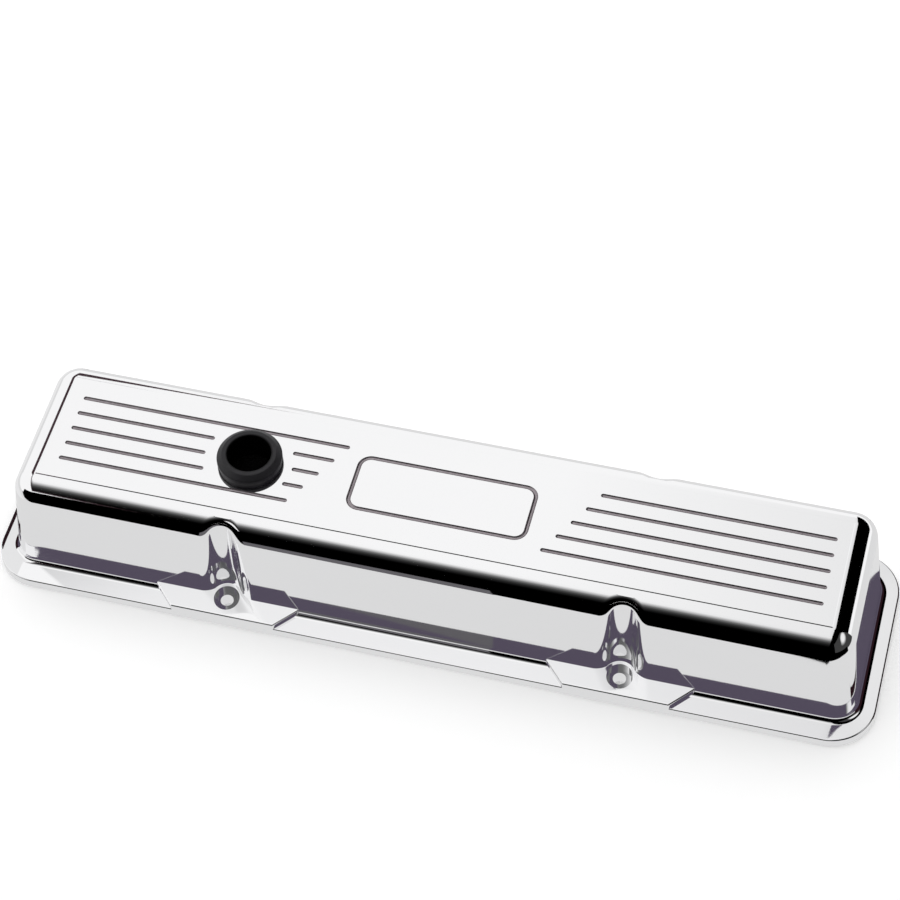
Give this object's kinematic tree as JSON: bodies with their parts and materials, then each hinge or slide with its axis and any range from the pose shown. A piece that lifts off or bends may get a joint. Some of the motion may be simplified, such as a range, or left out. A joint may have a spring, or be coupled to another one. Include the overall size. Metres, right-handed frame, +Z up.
{
  "type": "engine valve cover",
  "caption": "Polished cast aluminium engine valve cover: a hollow box on a flat gasket flange, with milled lines on top and a rubber breather grommet.",
  "frame": {"origin": "middle of the gasket face, on the plane that seals against the cylinder head", "axes": "+X along the cover's length, away from the breather; +Y across it; +Z up, away from the gasket face"},
  "size_m": [0.4634, 0.116, 0.0738],
  "materials": {
    "polished_aluminium": "mirror polished outside, as cast inside",
    "black_rubber": "satin moulded rubber",
    "zinc_plated_sheet": "zinc plated sheet",
    "zinc_plated_screws": "zinc plated"
  },
  "bodies": {
    "root": {"cover_casting": "polished_aluminium", "breather_grommet": "black_rubber", "oil_baffle": "zinc_plated_sheet", "baffle_screws": "zinc_plated_screws"}
  },
  "joints": []
}
